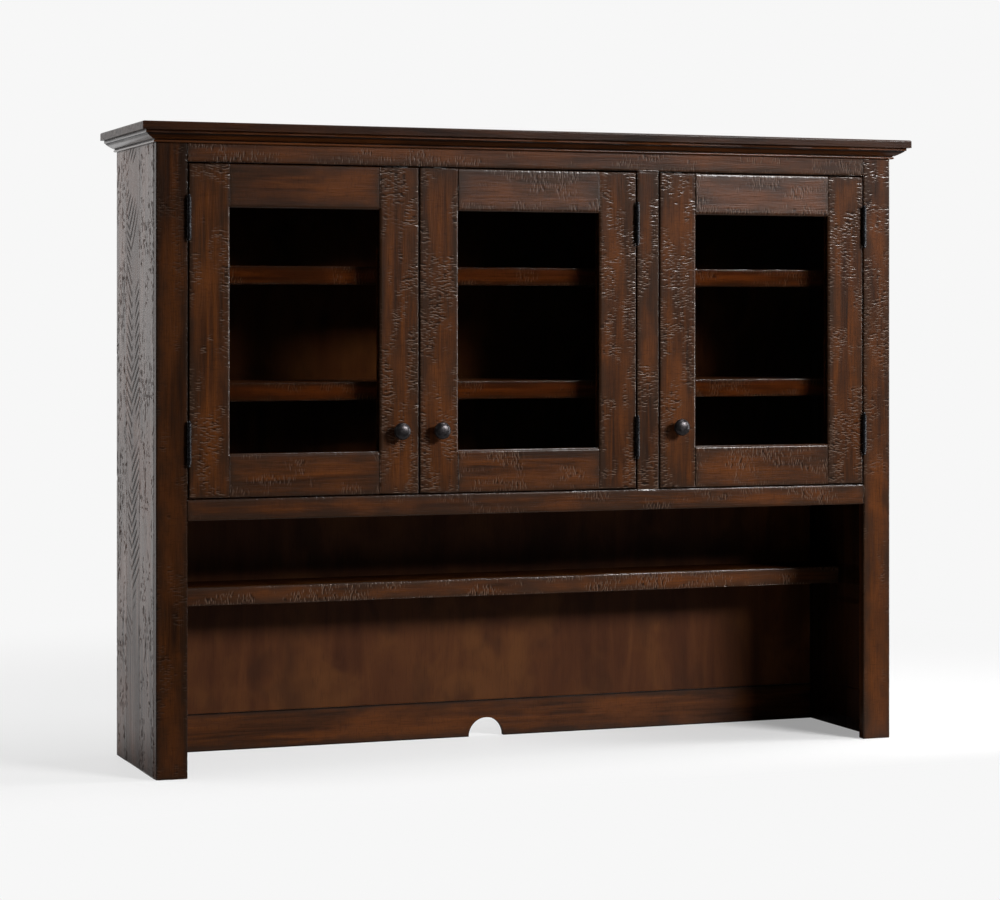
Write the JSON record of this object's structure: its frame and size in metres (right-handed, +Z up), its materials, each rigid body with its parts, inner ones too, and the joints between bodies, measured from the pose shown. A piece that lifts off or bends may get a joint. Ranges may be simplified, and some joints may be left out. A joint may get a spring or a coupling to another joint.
{
  "type": "dresser hutch",
  "caption": "Wooden hutch that stands on a dresser: a cabinet with glazed framed doors on butt hinges over an open bay with a narrow shelf, under a moulded cornice.",
  "frame": {"origin": "middle of the overall box in plan, on the surface that the hutch stands on", "axes": "+X along the width to the right as seen from the front, +Y to the back, +Z up"},
  "size_m": [1.588, 0.362, 1.214],
  "materials": {
    "stained_wood": "dark brown stain over solid wood with sawn marks, satin",
    "veneer": "smooth dark brown veneer, satin",
    "clear_glass": "clear",
    "dark_bronze": "oil-rubbed bronze, satin",
    "black_hinge": "black, satin",
    "catch_steel": "zinc plated"
  },
  "bodies": {
    "case": {"back_rail": "stained_wood", "bottom_face_rail": "stained_wood", "cabinet_floor": "stained_wood", "ceiling_panel": "stained_wood", "cornice_front": "stained_wood", "cornice_left": "stained_wood", "cornice_right": "stained_wood", "frame_hinge_leaves": "black_hinge", "hinge_pins": "black_hinge", "left_face_stile": "stained_wood", "left_lower_shelf": "stained_wood", "left_lower_shelf_nosing": "stained_wood", "left_side_panel": "stained_wood", "left_upper_shelf": "stained_wood", "left_upper_shelf_nosing": "stained_wood", "lower_back_panel": "veneer", "magnetic_catches": "catch_steel", "mullion": "stained_wood", "open_shelf": "stained_wood", "open_shelf_nosing": "stained_wood", "partition": "stained_wood", "right_face_stile": "stained_wood", "right_lower_shelf": "stained_wood", "right_lower_shelf_nosing": "stained_wood", "right_side_panel": "stained_wood", "right_upper_shelf": "stained_wood", "right_upper_shelf_nosing": "stained_wood", "shelf_cleats": "stained_wood", "top_board": "stained_wood", "top_face_rail": "stained_wood", "upper_back_panel": "veneer"},
    "door_left": {"door_left_bottom_rail": "stained_wood", "door_left_glass": "clear_glass", "door_left_glass_stops": "stained_wood", "door_left_hinge_leaves": "black_hinge", "door_left_knob": "dark_bronze", "door_left_left_stile": "stained_wood", "door_left_right_stile": "stained_wood", "door_left_strike_plate": "catch_steel", "door_left_top_rail": "stained_wood"},
    "door_middle": {"door_middle_bottom_rail": "stained_wood", "door_middle_glass": "clear_glass", "door_middle_glass_stops": "stained_wood", "door_middle_hinge_leaves": "black_hinge", "door_middle_knob": "dark_bronze", "door_middle_left_stile": "stained_wood", "door_middle_right_stile": "stained_wood", "door_middle_strike_plate": "catch_steel", "door_middle_top_rail": "stained_wood"},
    "door_right": {"door_right_bottom_rail": "stained_wood", "door_right_glass": "clear_glass", "door_right_glass_stops": "stained_wood", "door_right_hinge_leaves": "black_hinge", "door_right_knob": "dark_bronze", "door_right_left_stile": "stained_wood", "door_right_right_stile": "stained_wood", "door_right_strike_plate": "catch_steel", "door_right_top_rail": "stained_wood"}
  },
  "joints": [
    {"name": "left_door_hinge", "type": "hinge", "parent": "case", "child": "door_left", "pos_m": [-0.70075, -0.1536, 0.829], "axis": [0, 0, -1], "range_deg": [0, 150]},
    {"name": "middle_door_hinge", "type": "hinge", "parent": "case", "child": "door_middle", "pos_m": [0.20125, -0.1536, 0.829], "axis": [0, 0, 1], "range_deg": [0, 150]},
    {"name": "right_door_hinge", "type": "hinge", "parent": "case", "child": "door_right", "pos_m": [0.70075, -0.1536, 0.829], "axis": [0, 0, 1], "range_deg": [0, 150]}
  ]
}
